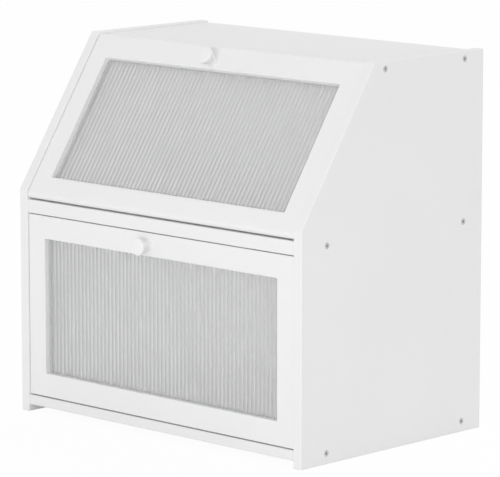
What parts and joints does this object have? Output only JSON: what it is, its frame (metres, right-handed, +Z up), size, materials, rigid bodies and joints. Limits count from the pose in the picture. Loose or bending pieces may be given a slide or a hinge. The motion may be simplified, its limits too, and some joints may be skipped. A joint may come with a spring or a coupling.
{
  "type": "bread box",
  "caption": "Tiered countertop bread box of white board, with a sloped upper flap door over an upright lower one, each framing a fluted translucent pane below a round knob.",
  "frame": {"origin": "on the counter, under the middle of the whole box, knobs included", "axes": "+X right across the front, +Y from the doors to the back, +Z up"},
  "size_m": [0.4, 0.2828, 0.39],
  "materials": {
    "white_board": "matt white paint",
    "door_board": "matt white paint",
    "knob_white": "satin white paint",
    "fluted_acrylic": "clear with a little milkiness, ribbed on the front",
    "screw_steel": "zinc plated",
    "pin_steel": "bright drawn",
    "magnet_nickel": "nickel plated",
    "bush_nylon": "natural nylon"
  },
  "bodies": {
    "case": {"left_side_panel": "white_board", "right_side_panel": "white_board", "top_panel": "white_board", "middle_shelf": "white_board", "bottom_panel": "white_board", "back_panel": "white_board", "left_stop_block": "white_board", "right_stop_block": "white_board", "left_case_screws": "screw_steel", "right_case_screws": "screw_steel", "back_panel_screws": "screw_steel", "stop_block_screws": "screw_steel", "upper_catch_magnets": "magnet_nickel", "lower_catch_magnets": "magnet_nickel", "upper_left_pivot_bush": "bush_nylon", "upper_right_pivot_bush": "bush_nylon", "lower_left_pivot_bush": "bush_nylon", "lower_right_pivot_bush": "bush_nylon"},
    "upper_door": {"upper_door_frame": "door_board", "upper_top_bead": "door_board", "upper_bottom_bead": "door_board", "upper_left_bead": "door_board", "upper_right_bead": "door_board", "upper_window_pane": "fluted_acrylic", "upper_knob": "knob_white", "upper_knob_screw": "screw_steel", "upper_left_pivot_pin": "pin_steel", "upper_right_pivot_pin": "pin_steel", "upper_bead_pins": "pin_steel", "upper_strike_discs": "pin_steel"},
    "lower_door": {"lower_door_frame": "door_board", "lower_top_bead": "door_board", "lower_bottom_bead": "door_board", "lower_left_bead": "door_board", "lower_right_bead": "door_board", "lower_window_pane": "fluted_acrylic", "lower_knob": "knob_white", "lower_knob_screw": "screw_steel", "lower_left_pivot_pin": "pin_steel", "lower_right_pivot_pin": "pin_steel", "lower_bead_pins": "pin_steel", "lower_strike_discs": "pin_steel"}
  },
  "joints": [
    {"name": "upper_door_hinge", "type": "hinge", "parent": "case", "child": "upper_door", "pos_m": [0, -0.12059, 0.2305], "axis": [1, 0, 0], "range_deg": [0, 130]},
    {"name": "lower_door_hinge", "type": "hinge", "parent": "case", "child": "lower_door", "pos_m": [0, -0.1204, 0.0269], "axis": [1, 0, 0], "range_deg": [0, 88]}
  ]
}
